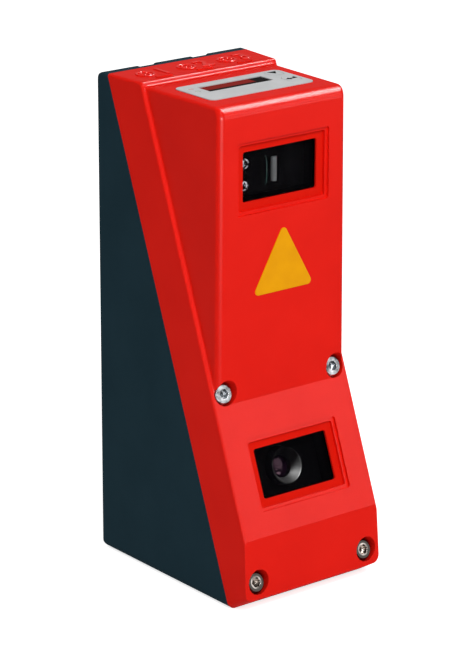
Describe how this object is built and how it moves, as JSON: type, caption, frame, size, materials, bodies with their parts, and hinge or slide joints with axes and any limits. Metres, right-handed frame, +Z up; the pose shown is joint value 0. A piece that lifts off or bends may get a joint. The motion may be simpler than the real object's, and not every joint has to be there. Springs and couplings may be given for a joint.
{
  "type": "laser profile sensor",
  "caption": "Wedge-shaped laser profile sensor with a dark metal rear housing, a red front cover, an upper laser window, a slanted camera window and a small keypad with display on top.",
  "frame": {"origin": "middle of the base, below the centre of the part's box", "axes": "+Z up along the height, -Y towards the windowed front, +X to the right seen from the front"},
  "size_m": [0.056, 0.074, 0.16],
  "materials": {
    "housing_coat": "fine matt powder coat, dark blue grey",
    "cover_red": "satin moulded plastic, signal red",
    "window_glass": "polished dark filter glass",
    "bright_steel": "bright zinc plated steel",
    "dark_steel": "stainless steel, in the shade of deep bores",
    "seal_rubber": "soft black rubber",
    "black_plastic": "fine textured black plastic",
    "amber_foil": "plain amber foil",
    "panel_foil": "silver grey printed foil",
    "display_red": "dark red filter window",
    "clear_plastic": "clear moulded plastic",
    "chip_black": "black component body",
    "lamp_white": "white lamp body",
    "board_green": "green solder mask",
    "plain_aluminium": "milled aluminium",
    "black_metal": "black anodised aluminium",
    "barrel_brass": "turned brass",
    "lens_glass": "coated lens glass",
    "flex_amber": "flexible circuit foil",
    "port_nickel": "nickel plated brass",
    "pin_gold": "gold plated contact"
  },
  "bodies": {
    "sensor": {"board_capacitors": "chip_black", "board_spacers": "plain_aluminium", "camera_block": "black_plastic", "camera_window": "window_glass", "camera_window_retainer": "black_plastic", "carrier_screws": "bright_steel", "chassis_plate": "plain_aluminium", "chassis_screws": "bright_steel", "collimator_lens": "lens_glass", "cover_gasket": "seal_rubber", "display_board": "board_green", "display_board_screws": "bright_steel", "display_module": "chip_black", "display_panel": "panel_foil", "display_ribbon": "flex_amber", "display_window": "display_red", "front_cover": "cover_red", "front_lens": "lens_glass", "image_sensor": "chip_black", "key_switches": "black_plastic", "laser_barrel": "barrel_brass", "laser_carrier": "black_metal", "laser_driver_board": "board_green", "laser_window": "window_glass", "laser_window_retainer": "black_plastic", "lens_barrel": "black_metal", "light_pipes": "clear_plastic", "line_lens": "lens_glass", "line_lens_holder": "black_plastic", "line_lens_screws": "bright_steel", "lower_cover_screws": "dark_steel", "main_board": "board_green", "main_board_screws": "bright_steel", "port_board": "board_green", "port_flex": "flex_amber", "port_insert_1": "black_plastic", "port_insert_2": "black_plastic", "port_insert_3": "black_plastic", "port_nuts": "port_nickel", "port_pins_1": "pin_gold", "port_pins_2": "pin_gold", "port_pins_3": "pin_gold", "port_seals": "seal_rubber", "port_shell_1": "port_nickel", "port_shell_2": "port_nickel", "port_shell_3": "port_nickel", "processor": "chip_black", "rear_housing": "housing_coat", "sensor_board": "board_green", "sensor_mount": "black_plastic", "status_lamps": "lamp_white", "triangle_plate": "amber_foil", "upper_cover_screws": "bright_steel"},
    "down_key": {"down_key": "panel_foil"},
    "enter_key": {"enter_key": "panel_foil"}
  },
  "joints": [
    {"name": "down_key_press", "type": "slide", "parent": "sensor", "child": "down_key", "axis": [0, 0, -1], "range_m": [0, 0.0003], "stiffness_N_per_m": 1500},
    {"name": "enter_key_press", "type": "slide", "parent": "sensor", "child": "enter_key", "axis": [0, 0, -1], "range_m": [0, 0.0003], "stiffness_N_per_m": 1500}
  ]
}
